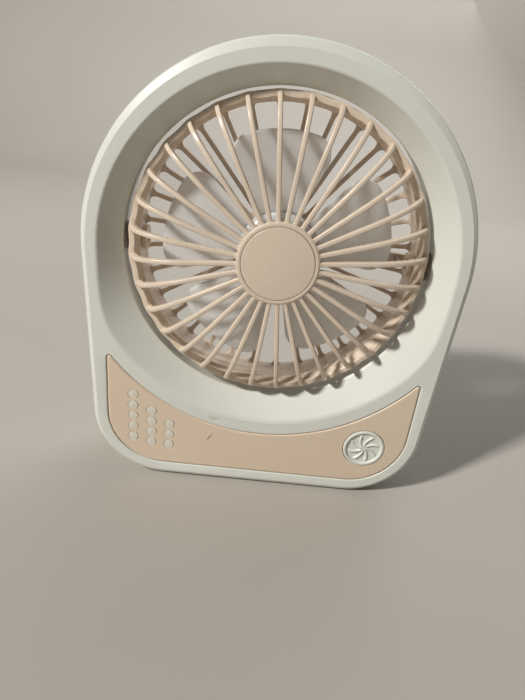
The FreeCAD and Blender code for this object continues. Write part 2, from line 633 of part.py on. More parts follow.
def make_rear_grille(pad):
    band = tube_y(RING_R, RING_INNER_R, RING_JOIN_Y, RING_BACK_Y)
    outer = on_plane(band, RING_BACK_Y)
    widest = max(outer, key=lambda e: e.Length)
    band = band.makeFillet(1.8, [widest])
    bars = [turned(rear_bar(), a) for a in bar_angles()]
    lead_bar = turned(rear_bar(4.4, 3.2), 90)
    cup = tube_y(CUP_R + CUP_WALL, CUP_R, MOTOR_FRONT_Y - 1.6, REAR_HUB_Y)
    plate = rod_y(CUP_R + CUP_WALL, MOTOR_FRONT_Y - 1.6, MOTOR_FRONT_Y)
    skirt = tube_y(REAR_HUB_R, CUP_R + 1, rear_front_y(REAR_HUB_R), rear_front_y(REAR_HUB_R) + 2.6)
    pads = [pad, mirrored(pad)]
    grille = band.multiFuse(bars + [lead_bar, cup, plate, skirt] + pads)
    holes = [rod_y(3.1, MOTOR_FRONT_Y - 3, MOTOR_FRONT_Y + 1), rod_y(CUP_R, MOTOR_FRONT_Y, 40)]
    for z in (-MOTOR_SCREW_Z, MOTOR_SCREW_Z):
        holes.append(rod_y(MOTOR_SCREW_R + 0.1, MOTOR_FRONT_Y - 3, MOTOR_FRONT_Y + 1, 0, HEAD_Z + z))
    for x, z in cover_screw_places():
        holes.append(rod_y(COVER_SCREW_R, REAR_HUB_Y - 6, REAR_HUB_Y + 1, x, z))
    holes += snap_lugs(SNAP_HEIGHT, 0.1)
    pin_hole = rod_x(PIN_R + 0.02, RING_INNER_R - 6, 70)
    flange_seat = rod_x(PIN_FLANGE_R + 0.1, RING_INNER_R - 6, RING_INNER_R - 1.4)
    holes += [pin_hole, mirrored(pin_hole), flange_seat, mirrored(flange_seat)]
    channel_y = rear_front_y(40) + 1.0
    holes.append(block(14.0, RING_INNER_R + 0.2, channel_y - 6, channel_y + 0.9, HEAD_Z - 1.1, HEAD_Z + 1.1))
    save("rear_grille", one(grille.cut(Part.makeCompound(holes))))


def make_motor():
    back = MOTOR_FRONT_Y + MOTOR_LENGTH
    can = rod_y(MOTOR_R, MOTOR_FRONT_Y, back).fuse(rod_y(3.0, MOTOR_FRONT_Y - 1.0, MOTOR_FRONT_Y + 1))
    can = can.cut(rod_y(MOTOR_R - 0.8, MOTOR_FRONT_Y + 0.8, back + 1))
    can = can.cut(rod_y(2.2, MOTOR_FRONT_Y - 2, MOTOR_FRONT_Y + 2))
    for z in (-MOTOR_SCREW_Z, MOTOR_SCREW_Z):
        can = can.cut(rod_y(MOTOR_SCREW_R, MOTOR_FRONT_Y - 1, MOTOR_FRONT_Y + 2, 0, HEAD_Z + z))
    save("motor_can", one(can))
    save("motor_front_bush", tube_y(2.2, SHAFT_R + 0.03, MOTOR_FRONT_Y - 1.0, MOTOR_FRONT_Y + 1.6))
    end = rod_y(MOTOR_R - 0.8, back - 1.6, back).fuse(rod_y(3.4, back - 2.4, back + 0.8))
    end = end.cut(rod_y(SHAFT_R + 0.03, back - 3, back + 0.4))
    save("motor_end_cap", one(end))
    ring = tube_y(MOTOR_R - 0.8, 9.6, MOTOR_FRONT_Y + 2.0, back - 2.6)
    gap = block(-1.5, 1.5, MOTOR_FRONT_Y, back, HEAD_Z - 14, HEAD_Z + 14)
    magnets = ring.cut(gap).Solids
    save("motor_magnets", *magnets)
    rotor = tube_y(9.2, SHAFT_R, MOTOR_FRONT_Y + 2.4, back - 3.0)
    slots = []
    for i in range(3):
        slot = block(-1.2, 1.2, MOTOR_FRONT_Y, back, HEAD_Z + 5.5, HEAD_Z + 12)
        slots.append(turned(slot, i * 120.0))
    save("motor_rotor", one(rotor.cut(Part.makeCompound(slots))))
    save("motor_shaft", rod_y(SHAFT_R, IMPELLER_FRONT_Y + 2.2, back + 0.2))
    screws = []
    for z in (-MOTOR_SCREW_Z, MOTOR_SCREW_Z):
        shank = rod_y(MOTOR_SCREW_R, MOTOR_FRONT_Y - 1.6, MOTOR_FRONT_Y + 0.8, 0, HEAD_Z + z)
        head = rod_y(1.6, MOTOR_FRONT_Y - 2.5, MOTOR_FRONT_Y - 1.6, 0, HEAD_Z + z)
        screws.append(shank.fuse(head))
    save("motor_screws", *screws)


def cover_screw_places():
    return [corner_point(0, HEAD_Z, CUP_R + CUP_WALL / 2, a) for a in (0, 120, 240)]


def make_motor_cover():
    y0 = REAR_HUB_Y
    cover = rod_y(REAR_HUB_R - 1.0, y0, y0 + 1.6)
    cover = cover.makeFillet(1.2, on_plane(cover, y0 + 1.6))
    lip = tube_y(CUP_R - 0.2, CUP_R - 1.6, y0 - 0.9, y0)
    cover = cover.fuse(lip)
    holes = []
    screws = []
    for x, z in cover_screw_places():
        holes.append(rod_y(COVER_SCREW_R, y0 - 3, y0 + 3, x, z))
        holes.append(rod_y(COVER_SCREW_HEAD_R + 0.1, y0 + 0.7, y0 + 3, x, z))
        shank = rod_y(COVER_SCREW_R, y0 - 5, y0 + 0.7, x, z)
        head = rod_y(COVER_SCREW_HEAD_R, y0 + 0.7, y0 + 1.5, x, z)
        drive = block(x - 0.2, x + 0.2, y0 + 1.1, y0 + 2, z - 0.8, z + 0.8)
        cross = block(x - 0.8, x + 0.8, y0 + 1.1, y0 + 2, z - 0.2, z + 0.2)
        screws.append(shank.fuse(head).cut(drive).cut(cross))
    save("motor_cover", one(cover.cut(Part.makeCompound(holes))))
    save("cover_screws", *screws)


def blade():
    """One blade at the top: a pitched, slightly cambered sheet cut to a rounded sector."""
    half = math.radians(BLADE_HALF_ANGLE)
    reach = IMPELLER_R * math.sin(half)
    face = []
    for side in (-1, 1):
        for i in range(-3, 4):
            part = -side * i / 3 * 1.1
            y = BLADE_MID_Y + BLADE_RISE * part + BLADE_CAMBER * (1 - part ** 2) + side * BLADE_THICK / 2
            face.append(Vector(reach * part, y, HEAD_Z + IMPELLER_HUB_R - 6))
    sheet = Part.Face(Part.makePolygon(face + [face[0]])).extrude(Vector(0, 0, IMPELLER_R))
    low = IMPELLER_HUB_R - 4
    root = (low * math.sin(half), HEAD_Z + low * math.cos(half))
    tip = (reach, HEAD_Z + IMPELLER_R * math.cos(half))
    sector = prism([("line", [(-root[0], root[1]), (-tip[0], tip[1])]),
                    ("arc", [(-tip[0], tip[1]), (0, HEAD_Z + IMPELLER_R), tip]),
                    ("line", [tip, root]),
                    ("line", [root, (-root[0], root[1])])], -30, 30)
    corners = [e for e in sector.Edges if e.BoundBox.YLength > 50 and e.BoundBox.ZMin > HEAD_Z + 40]
    return sheet.common(sector.makeFillet(BLADE_CORNER_R, corners))


def make_impeller():
    front = IMPELLER_FRONT_Y
    back = MOTOR_FRONT_Y - 2.9
    hub = rod_y(IMPELLER_HUB_R, front, back)
    hub = hub.makeFillet(3.0, on_plane(hub, front))
    hub = hub.cut(rod_y(IMPELLER_HUB_R - 1.6, front + 1.8, back + 1))
    boss = rod_y(4.0, front + 1.0, MOTOR_FRONT_Y - 3.4)
    blades = [turned(blade(), BLADE_TURN + i * 360.0 / BLADE_COUNT) for i in range(BLADE_COUNT)]
    core = rod_y(IMPELLER_HUB_R - 1.6, front + 1.8, 40)
    blades = [b.cut(core) for b in blades]
    wheel = hub.multiFuse([boss] + blades)
    wheel = wheel.cut(rod_y(SHAFT_R, front + 2.2, 40))
    save("impeller", one(wheel))


# ---------------------------------------------------------------- leads

def make_leads():
    lead_r = 0.9
    side_x = 79.7
    frame_route = [(66.0, -4.0, 36.0), (72.0, -4.0, 36.0), (77.5, -4.0, 44.0), (side_x, -4.0, 62.0),
                   (side_x, -3.0, 80.0), (side_x, -1.0, 104.0), (side_x, 0, HEAD_Z), (77.4, 0, HEAD_Z)]
    save("motor_lead_frame", wire_tube(frame_route, lead_r))
    channel_y = rear_front_y(40) + 1.0
    head_route = [(77.4, 0, HEAD_Z), (57.5, 0, HEAD_Z), (57.5, channel_y, HEAD_Z), (14.2, channel_y, HEAD_Z)]
    save("motor_lead_head", wire_tube(head_route, lead_r, 0.3))
    board_back = BOARD_Y + BOARD_THICK
    right = BATTERY_X + BATTERY_LENGTH / 2 + 0.9
    left = BATTERY_X - BATTERY_LENGTH / 2
    plus = [(right, BATTERY_Y, BATTERY_Z), (right + 2.5, BATTERY_Y, BATTERY_Z), (right + 2.5, 0, 22),
            (24, -3, 24), (24, board_back, 24)]
    minus = [(left, BATTERY_Y, BATTERY_Z), (left - 3, BATTERY_Y, BATTERY_Z), (left - 3, -1.0, 13),
             (8, -1.0, 13), (20, -2.0, 21), (20, board_back, 21)]
    port_y = BACK_Y - 14.0
    board_top = PORT_Z - PORT_HALF_HEIGHT
    charge = []
    for side in (-1, 1):
        x = PORT_X + 3 * side
        charge.append([(x, port_y, board_top), (x, port_y, board_top + 3), (x + 9, -1, 21.5 + side),
                       (x + 9, board_back, 21.5 + side)])
    save("power_leads", *[wire_tube(route, 0.6, 0.35) for route in [plus, minus] + charge])


make_front_housing()
make_rear_housing()
make_housing_screws()
make_feet()
make_control_panel()
make_studs()
make_power_button()
make_board()
make_charge_port()
make_battery()
ring_pad = make_pivots()
make_front_grille()
make_rear_grille(ring_pad)
make_motor()
make_motor_cover()
make_impeller()
make_leads()
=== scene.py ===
"""Looks of the desk fan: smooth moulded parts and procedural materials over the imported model.

Lengths in the making of each piece are in millimetres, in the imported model's own frame: +Z is up,
the front faces -Y and +X is to the right. They become metres when a mesh is written.
"""
import bmesh
import bpy
import json
import math
from mathutils import Matrix, Vector


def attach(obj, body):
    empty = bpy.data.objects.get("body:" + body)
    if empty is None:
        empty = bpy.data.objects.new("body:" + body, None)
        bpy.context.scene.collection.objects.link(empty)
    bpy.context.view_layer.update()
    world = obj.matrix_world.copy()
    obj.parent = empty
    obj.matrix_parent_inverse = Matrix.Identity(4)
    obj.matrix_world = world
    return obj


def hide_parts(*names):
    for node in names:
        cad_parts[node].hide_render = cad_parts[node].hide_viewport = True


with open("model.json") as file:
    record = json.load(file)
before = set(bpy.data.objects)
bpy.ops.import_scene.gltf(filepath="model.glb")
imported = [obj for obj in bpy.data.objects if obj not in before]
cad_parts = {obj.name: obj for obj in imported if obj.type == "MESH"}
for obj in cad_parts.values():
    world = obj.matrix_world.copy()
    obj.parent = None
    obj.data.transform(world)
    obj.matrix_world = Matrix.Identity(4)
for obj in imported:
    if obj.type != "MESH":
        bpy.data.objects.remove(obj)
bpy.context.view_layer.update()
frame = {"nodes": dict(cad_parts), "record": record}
nodes = frame["nodes"]
MM = 0.001

# Camera
CAMERA_DOWN, CAMERA_TURN, CAMERA_ROLL = math.radians(24.85), math.radians(1.30), math.radians(6.46)
CAMERA_SPOT, CAMERA_LENS, SENSOR_HEIGHT, CLIP_START = (-7.1, -232.8, 177.3), 25.97, 36.0, 0.01

# Stand: outline, depth and shoulders
HALF_WIDTH, FOOT, HEAD_Z = 85.57, 1.0, 121.0
ARCH_Z, CORNER_R, TAPER = 119.4, 35.4, math.radians(2.0)
FRONT_Y, SPLIT_Y, BACK_Y, WALL = -19.0, 0.0, 25.5, 2.2
FRONT_ROUND, BACK_ROUND, FACET_SLOPE = 4.5, 5.0, math.radians(16.0)
EDGE_R, CREASE_HALF, SHOULDER_START = 1.8, 0.12, 8.0
SIDE_SHARE, TOP_SHARE, TOP_POWER = 0.52, 0.36, 1.5
GROOVE_DEPTH, GROOVE_REACH = 0.22, 0.3
SHELL_COLUMNS, FIXED_INSET = 480, 0.3

# Stand: dish and opening
RIM_TOP_Z, RIM_R, RIM_LOW_Z, RIM_LOW_R, RIM_BLEND = 117.0, 78.8, 127.0, 87.8, 24.0
RIM_SOFT_TOP, RIM_SOFT_LOW, RIM_BACKING = 1.5, 4.0, 1.2
LIP_R, LIP_Y, LIP_Z, LIP_ROUND, TUNNEL_BACK_R, TUNNEL_BACK_ROUND = 69.0, -11.0, 119.9, 1.1, 74.0, 1.4
TUNNEL_SLOPE = (TUNNEL_BACK_R - LIP_R) / (BACK_Y - LIP_Y)

# Stand: screw wells and charging slot
SCREWS = ((-74.5, 60.0), (74.5, 60.0), (-62.0, 13.0), (62.0, 13.0))
SCREW_SEAT_Y, SCREW_HOLE_R = 6.0, 2.5
WELL_BORE_R, WELL_R, WELL_FRONT_Y, WELL_BACK_GAP = 1.3, 3.8, 4.4, 0.8
PORT_X, PORT_Z, PORT_HALF, PORT_R, PORT_DEPTH = 26.0, 12.0, 3.0, 1.8, 5.0

# How far cutters start before a face and end behind it, a hair of a turn, and a distance past everything
OVERCUT, THROUGH, TINY, FAR = 0.6, 2.0, 1e-6, 1e9

# Control panel
PANEL_X, PANEL_LOW, PANEL_CORNER = 75.6, 8.0, 28.0
PANEL_ARC_Z, PANEL_ARC_R, PANEL_TIP = 124.7, 93.0, 1.5
PANEL_DEPTH, PANEL_GAP, PANEL_EDGE, POCKET_EDGE = 2.4, 0.3, 0.95, 0.5
ARC_STEPS, TIP_STEPS, CORNER_STEPS = 32, 8, 24
DRILL_DEPTH, STUD_FLARE, BUTTON_FLARE = 4.0, 0.25, 0.3
FLOOR_Y = FRONT_Y + PANEL_DEPTH + 2.0
STUD_R, STUD_PITCH, STUD_GAP, STUD_PROUD = 2.42, 6.1, 0.12, 0.12
STUD_COLUMNS = ((-62.8, 47.4, 5), (-53.7, 39.0, 4), (-44.7, 32.1, 3))

# Push button
BUTTON_X, BUTTON_Z, BUTTON_R, BUTTON_WALL, BUTTON_GAP = 54.6, 29.0, 10.4, 1.8, 0.28
BUTTON_PROUD, BUTTON_DISH, BUTTON_DISH_R, BUTTON_RINGS = 0.45, 1.05, 8.5, 60
VANES, VANE_HEIGHT, BOSS_HEIGHT = 8, 0.8, 0.55
VANE_SWEEP, VANE_TURN = 0.085, math.radians(8)

# Front cage
BARS, BAR_HALF, BAR_DEPTH = 32, 1.0, 3.0
HUB_Y, HUB_R, CAP_R, CAP_SEAT, CAP_GAP = -25.5, 18.0, 15.7, 2.05, 0.18
SLOT_START, SLOT_R, BAR_FLARE = 17.7, 0.8, 2.1
BAR_PATH = ((16.4, -25.15), (18.6, -24.85), (30, -24.8), (40, -24.65), (45, -24.3), (50.4, -23.3),
            (55.4, -21.9), (58.8, -20.5), (61.4, -18.9), (63.4, -16.9), (64.8, -14.7), (65.6, -12.6),
            (66.2, -10.6), (66.5, -8.8), (66.6, -7.4))
RING_R, RING_INNER_R, RING_FRONT_Y, RING_JOIN_Y, RING_BACK_Y = 66.7, 63.5, -12.0, -7.0, 11.0
RING_SKIN_R, RING_HOLLOW, SPIGOT_OUTSIDE, SPIGOT_INSIDE = 64.0, 0.55, 0.2, 1.4

# Rear cage
REAR_HUB_R, REAR_HUB_Y, CUP_R, CUP_WALL, MOTOR_FRONT_Y = 19.0, 18.5, 12.5, 2.3, 4.8
CUP_BORE_R, CUP_FLOOR, REAR_BAR_DEPTH = 3.1, 1.6, 2.6
LEAD_BAR_HALF, LEAD_BAR_DEPTH = 2.2, 3.2
REAR_SLOT_R, WINDOW_R, REAR_BAR_ROUND = 0.9, 3.2, 0.45

# Wheel
IMPELLER_R, IMPELLER_HUB_R, IMPELLER_FRONT_Y = 52.3, 18.5, -8.5
BLADES, BLADE_HALF, BLADE_TURN = 5, math.radians(28.5), math.radians(-4.0)
BLADE_THICK, BLADE_CORNER, BLADE_ROOT_R, BLADE_EVEN_R, BLADE_SOFT_R = 1.4, 9.0, 15.0, 40.0, 45.0
BLADE_LAYERS = ((-1.0, 0.55), (-0.75, 0.18), (0.0, 0.0), (0.75, 0.18), (1.0, 0.55))
BLADE_MID_Y, BLADE_RISE, BLADE_CAMBER = -3.4, 5.0, 1.0

# Marks on the plastic, as (x, z) ends in metres
SCRATCH = ((-0.0260, 0.0236), (-0.0222, 0.0297))
SMUDGE = ((-0.0262, 0.0384), (-0.0196, 0.0380))

# Studio: the floor in millimetres, and each light's name, place, aim, size in metres, power and colour
FLOOR_HALF, FLOOR_FRONT, WALL_Y, WALL_TOP, SWEEP_R = 3000, -2500, 1500, 1800, 400
WORLD_COLOUR, WORLD_STRENGTH = (0.95, 0.93, 0.90, 1), 0.045
LIGHTS = (("key", (-1.48, -1.16, 1.59), (0, 0, 0.11), 0.20, 60.5, (1.0, 0.985, 0.95)),
          ("fill", (0.7, -1.0, 0.35), (0, 0, 0.1), 0.8, 0.15, (0.92, 0.96, 1.0)),
          ("backdrop", (0.2, 0.7, 1.2), (0.1, 1.5, 0.5), 0.8, 9.0, (0.93, 0.97, 1.0)),
          ("back", (0.75, 1.05, 0.9), (0, 0, 0.1), 0.9, 5.0, (0.97, 0.98, 1.0)))

# Mesh cleaning, in metres
MERGE_DISTANCE, DEGENERATE_DISTANCE = 1e-7, 1e-8


# ---------------------------------------------------------------- camera

def make_camera():
    """The viewpoint: a little above, close by, and rolled a few degrees."""
    down, turn, roll = CAMERA_DOWN, CAMERA_TURN, CAMERA_ROLL
    forward = Vector((math.sin(turn) * math.cos(down), math.cos(turn) * math.cos(down), -math.sin(down)))
    level = Vector((math.cos(turn), -math.sin(turn), 0))
    above = level.cross(forward)
    right = level * math.cos(roll) + above * math.sin(roll)
    up = above * math.cos(roll) - level * math.sin(roll)
    data = bpy.data.cameras.new("camera")
    data.sensor_fit = "VERTICAL"
    data.sensor_height = SENSOR_HEIGHT
    data.lens = CAMERA_LENS
    data.clip_start = CLIP_START
    camera = bpy.data.objects.new("camera", data)
    bpy.context.scene.collection.objects.link(camera)
    turned = Matrix((right, up, -forward)).transposed().to_4x4()
    camera.matrix_world = Matrix.Translation(Vector(CAMERA_SPOT) * MM) @ turned
    bpy.context.scene.camera = camera


# ---------------------------------------------------------------- mesh helpers

def polar(radius, angle, y, x0=0.0, z0=HEAD_Z):
    """A point at an angle clockwise from straight up, as seen from the front."""
    return x0 + radius * math.sin(angle), y, z0 + radius * math.cos(angle)


def spread(count):
    """Evenly spaced angles round a full turn."""
    return [2 * math.pi * i / count for i in range(count)]


class Skin:
    """Points and faces of one mesh while it is being made."""

    def __init__(self):
        self.points = []
        self.faces = []

    def grid(self, rows, around=True, closed=False, caps=False):
        """Faces between neighbouring rows.

        around closes each row, closed joins the last row to the first, caps fills both ends.
        """
        first, wide, tall = len(self.points), len(rows[0]), len(rows)
        for row in rows:
            self.points.extend(row)
        for i in range(tall if closed else tall - 1):
            a, b = first + i * wide, first + (i + 1) % tall * wide
            for j in range(wide if around else wide - 1):
                k = (j + 1) % wide
                self.faces.append((a + j, a + k, b + k, b + j))
        if caps:
            self.faces.append(tuple(first + j for j in range(wide)))
            last = first + (tall - 1) * wide
            self.faces.append(tuple(last + j for j in reversed(range(wide))))

    def turned(self, angle):
        """A copy of these points turned about the head's axis."""
        copy = Skin()
        s, c = math.sin(angle), math.cos(angle)
        for x, y, z in self.points:
            up = z - HEAD_Z
            copy.points.append((x * c + up * s, y, HEAD_Z + up * c - x * s))
        copy.faces = list(self.faces)
        return copy

    def add(self, other):
        base = len(self.points)
        self.points.extend(other.points)
        self.faces.extend(tuple(base + i for i in f) for f in other.faces)

    def lathe(self, profile, count=96, x0=0.0, z0=HEAD_Z):
        """Turns a closed outline of (radius, y) points about an axis along Y."""
        self.grid([[polar(r, a, y, x0, z0) for r, y in profile] for a in spread(count)], closed=True)

    def object(self, name, material, sharp=35.0):
        mesh = bpy.data.meshes.new(name)
        mesh.from_pydata([(x * MM, y * MM, z * MM) for x, y, z in self.points], [], self.faces)
        return finished(name, mesh, material, sharp)


def finished(name, mesh, material, sharp):
    """Cleans a mesh, marks its sharp edges and links it as an object."""
    soft = bmesh.new()
    soft.from_mesh(mesh)
    bmesh.ops.remove_doubles(soft, verts=soft.verts, dist=MERGE_DISTANCE)
    bmesh.ops.dissolve_degenerate(soft, edges=soft.edges, dist=DEGENERATE_DISTANCE)
    bmesh.ops.recalc_face_normals(soft, faces=soft.faces)
    soft.to_mesh(mesh)
    soft.free()
    mesh.shade_smooth()
    mesh.set_sharp_from_angle(angle=math.radians(sharp))
    mesh.materials.clear()
    mesh.materials.append(material)
    piece = bpy.data.objects.new(name, mesh)
    bpy.context.scene.collection.objects.link(piece)
    return piece


def carve(piece, cutter, sharp=35.0):
    """Cuts the cutter's solids out of a piece, and returns the new piece."""
    name, material = piece.name, piece.data.materials[0]
    tool = cutter.object(name + "_cutter", material)
    cut = piece.modifiers.new("cut", "BOOLEAN")
    cut.operation, cut.solver, cut.object = "DIFFERENCE", "EXACT", tool
    bpy.context.view_layer.update()
    whole = piece.evaluated_get(bpy.context.evaluated_depsgraph_get())
    mesh = bpy.data.meshes.new_from_object(whole)
    bpy.data.objects.remove(tool)
    bpy.data.objects.remove(piece)
    result = finished(name, mesh, material, sharp)
    even = result.modifiers.new("even normals", "WEIGHTED_NORMAL")
    even.keep_sharp = True
    return result


def rounded(corners, steps=5, closed=False):
    """A plane outline in which each (a, b, radius) corner becomes an arc of steps parts."""
    out = []
    for i, corner in enumerate(corners):
        end = not closed and i in (0, len(corners) - 1)
        if len(corner) < 3 or end:
            out.append((corner[0], corner[1]))
            continue
        here, radius = Vector(corner[:2]), corner[2]
        into = (here - Vector(corners[i - 1][:2])).normalized()
        away = (Vector(corners[(i + 1) % len(corners)][:2]) - here).normalized()
        turn = max(into.angle(away), 1e-4)
        start = -into * radius * math.tan(turn / 2)
        finish = away * radius * math.tan(turn / 2)
        centre = (away - into).normalized() * radius / math.cos(turn / 2)
        for k in range(steps + 1):
            part = k / steps
            spoke = (start - centre) * math.sin((1 - part) * turn) + (finish - centre) * math.sin(part * turn)
            out.append(tuple(here + centre + spoke / math.sin(turn)))
    return out


def smooth_path(points, per=5):
    """Points along a smooth curve through the given (a, b) points, per of them to a stretch."""
    def between(a, b, c, d, t):
        return 0.5 * (2 * b + (c - a) * t + (2 * a - 5 * b + 4 * c - d) * t ** 2
                      + (3 * b - a - 3 * c + d) * t ** 3)

    out = []
    ends = [points[0]] + list(points) + [points[-1]]
    for stretch in zip(ends, ends[1:], ends[2:], ends[3:]):
        for k in range(per):
            out.append(tuple(between(*values, k / per) for values in zip(*stretch)))
    out.append(tuple(points[-1]))
    return out


def ease(low, high, value):
    """0 below low, 1 above high, and a smooth rise between them."""
    part = min(max((value - low) / (high - low), 0.0), 1.0)
    return part * part * (3 - 2 * part)


def place(piece, body, stands_for):
    """Sets a finished piece on its body in the place of one CAD part."""
    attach(piece, body)
    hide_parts(stands_for)
    return piece


# ---------------------------------------------------------------- materials

def nodes_of(material):
    """The node tree of a new material, its shader and the object coordinates."""
    material.use_nodes = True
    tree = material.node_tree
    shader = tree.nodes["Principled BSDF"]
    where = tree.nodes.new("ShaderNodeTexCoord").outputs["Object"]
    return tree, shader, where


def noise(tree, where, scale, detail=2.0, rough=0.5):
    made = tree.nodes.new("ShaderNodeTexNoise")
    made.inputs["Scale"].default_value = scale
    made.inputs["Detail"].default_value = detail
    made.inputs["Roughness"].default_value = rough
    tree.links.new(where, made.inputs["Vector"])
    return made.outputs["Fac"]


def to_range(tree, value, low, high, from_low=0.0, from_high=1.0):
    made = tree.nodes.new("ShaderNodeMapRange")
    for name, number in (("From Min", from_low), ("From Max", from_high), ("To Min", low), ("To Max", high)):
        made.inputs[name].default_value = number
    tree.links.new(value, made.inputs["Value"])
    return made.outputs["Result"]


def two_colours(tree, factor, first, second):
    """A mix of two colours, each a tuple or another node's output."""
    made = tree.nodes.new("ShaderNodeMix")
    made.data_type = "RGBA"
    tree.links.new(factor, made.inputs["Factor"])
    for socket, colour in ((made.inputs["A"], first), (made.inputs["B"], second)):
        if isinstance(colour, tuple):
            socket.default_value = (*colour, 1.0)
        else:
            tree.links.new(colour, socket)
    return made.outputs["Result"]


def bump(tree, shader, height, distance, strength=1.0, before=None):
    """Relief of some depth in metres, laid over the relief made before."""
    made = tree.nodes.new("ShaderNodeBump")
    made.inputs["Distance"].default_value = distance
    made.inputs["Strength"].default_value = strength
    tree.links.new(height, made.inputs["Height"])
    if before:
        tree.links.new(before, made.inputs["Normal"])
    tree.links.new(made.outputs["Normal"], shader.inputs["Normal"])
    return made.outputs["Normal"]


def moulded(name, colour, shade, rough=(0.30, 0.40), mark=None):
    """Injection-moulded plastic: slow colour drift, a fine spark-eroded grain and faint handling marks."""
    material = bpy.data.materials.new(name)
    tree, shader, where = nodes_of(material)
    drift = to_range(tree, noise(tree, where, 22.0, 3.0), 0, 1, from_low=0.35, from_high=0.65)
    base = two_colours(tree, drift, colour, shade)
    speck = to_range(tree, noise(tree, where, 900.0), 0.0, 0.10, from_low=0.62, from_high=0.80)
    base = two_colours(tree, speck, base, tuple(c * 0.72 for c in colour))
    if mark:
        base = mark(tree, where, base)
    tree.links.new(base, shader.inputs["Base Color"])
    smear = to_range(tree, noise(tree, where, 60.0, 4.0, 0.6), *rough, from_low=0.3, from_high=0.7)
    tree.links.new(smear, shader.inputs["Roughness"])
    grain = bump(tree, shader, noise(tree, where, 2600.0), distance=0.000012)
    bump(tree, shader, noise(tree, where, 45.0, 1.0), distance=0.00012, strength=0.25, before=grain)
    return material


def near_line(tree, where, start, end, half, soft):
    """1 along a line between two (x, z) points in metres, falling to 0 at half + soft from it."""
    split = tree.nodes.new("ShaderNodeSeparateXYZ")
    tree.links.new(where, split.inputs["Vector"])
    flat = tree.nodes.new("ShaderNodeCombineXYZ")
    tree.links.new(split.outputs["X"], flat.inputs["X"])
    tree.links.new(split.outputs["Z"], flat.inputs["Y"])
    reach = Vector(end) - Vector(start)
    turn = math.atan2(reach.y, reach.x)
    middle = (Vector(end) + Vector(start)) / 2
    local = tree.nodes.new("ShaderNodeMapping")
    local.vector_type = "TEXTURE"
    local.inputs["Location"].default_value = (middle.x, middle.y, 0)
    local.inputs["Rotation"].default_value = (0, 0, turn)
    local.inputs["Scale"].default_value = (reach.length / 2 + soft, half + soft, 1)
    tree.links.new(flat.outputs["Vector"], local.inputs["Vector"])
    size = tree.nodes.new("ShaderNodeVectorMath")
    size.operation = "LENGTH"
    tree.links.new(local.outputs["Vector"], size.inputs[0])
    return to_range(tree, size.outputs["Value"], 1.0, 0.0, from_low=0.45, from_high=1.0)


def scratch(tree, where, base):
    """One short dark scratch on the panel, where something has caught it."""
    line = near_line(tree, where, *SCRATCH, half=0.00020, soft=0.00016)
    broken = to_range(tree, noise(tree, where, 700.0), 0.25, 1.0, from_low=0.35, from_high=0.55)
    both = tree.nodes.new("ShaderNodeMath")
    both.operation = "MULTIPLY"
    tree.links.new(line, both.inputs[0])
    tree.links.new(broken, both.inputs[1])
    return two_colours(tree, both.outputs[0], base, (0.22, 0.11, 0.06))


def smudge(tree, where, base):
    """A faint grey rub mark low on the land."""
    line = near_line(tree, where, *SMUDGE, half=0.0006, soft=0.0007)
    soft = tree.nodes.new("ShaderNodeMath")
    soft.operation = "MULTIPLY"
    soft.inputs[1].default_value = 0.25
    tree.links.new(line, soft.inputs[0])
    return two_colours(tree, soft.outputs[0], base, (0.30, 0.27, 0.23))


def milky(name):
    """Milky translucent plastic with soft clouding."""
    material = bpy.data.materials.new(name)
    tree, shader, where = nodes_of(material)
    cloud = to_range(tree, noise(tree, where, 55.0, 3.0), 0, 1, from_low=0.35, from_high=0.65)
    clouded = two_colours(tree, cloud, (0.76, 0.745, 0.72), (0.71, 0.695, 0.67))
    tree.links.new(clouded, shader.inputs["Base Color"])
    for socket, value in (("Transmission Weight", 0.15), ("Subsurface Weight", 1.0),
                          ("Subsurface Radius", (1.0, 0.95, 0.9)), ("Subsurface Scale", 0.006),
                          ("IOR", 1.49)):
        shader.inputs[socket].default_value = value
    tree.links.new(to_range(tree, noise(tree, where, 120.0, 3.0), 0.20, 0.30), shader.inputs["Roughness"])
    bump(tree, shader, noise(tree, where, 90.0, 1.0), distance=0.0001, strength=0.3)
    return material


def metal(name, colour, rough, brushed=1.0):
    """Plated or turned metal. Its fine marks are squeezed along Y by the factor brushed."""
    material = bpy.data.materials.new(name)
    tree, shader, where = nodes_of(material)
    tone = to_range(tree, noise(tree, where, 400.0, 4.0, 0.7), 0, 1, from_low=0.3, from_high=0.7)
    mottle = two_colours(tree, tone, colour, tuple(c * 0.75 for c in colour))
    tree.links.new(mottle, shader.inputs["Base Color"])
    shader.inputs["Metallic"].default_value = 1.0
    stretched = tree.nodes.new("ShaderNodeMapping")
    stretched.inputs["Scale"].default_value = (1.0, brushed, 1.0)
    tree.links.new(where, stretched.inputs["Vector"])
    fine = noise(tree, stretched.outputs["Vector"], 900.0, 3.0)
    tree.links.new(to_range(tree, fine, rough, rough + 0.2), shader.inputs["Roughness"])
    bump(tree, shader, fine, distance=0.00001)
    return material


def plain(name, colour, rough, scale=700.0, depth=0.00003, specular=0.4, second=None):
    """Rubber, board, wrap and insulation: a colour with fine mottling and grain."""
    material = bpy.data.materials.new(name)
    tree, shader, where = nodes_of(material)
    tone = to_range(tree, noise(tree, where, scale, 3.0, 0.6), 0, 1, from_low=0.35, from_high=0.65)
    mottle = two_colours(tree, tone, colour, second or tuple(c * 0.8 for c in colour))
    tree.links.new(mottle, shader.inputs["Base Color"])
    gloss = to_range(tree, noise(tree, where, scale / 3), rough, min(rough + 0.15, 1))
    tree.links.new(gloss, shader.inputs["Roughness"])
    shader.inputs["Specular IOR Level"].default_value = specular
    bump(tree, shader, noise(tree, where, scale * 1.7), distance=depth)
    return material


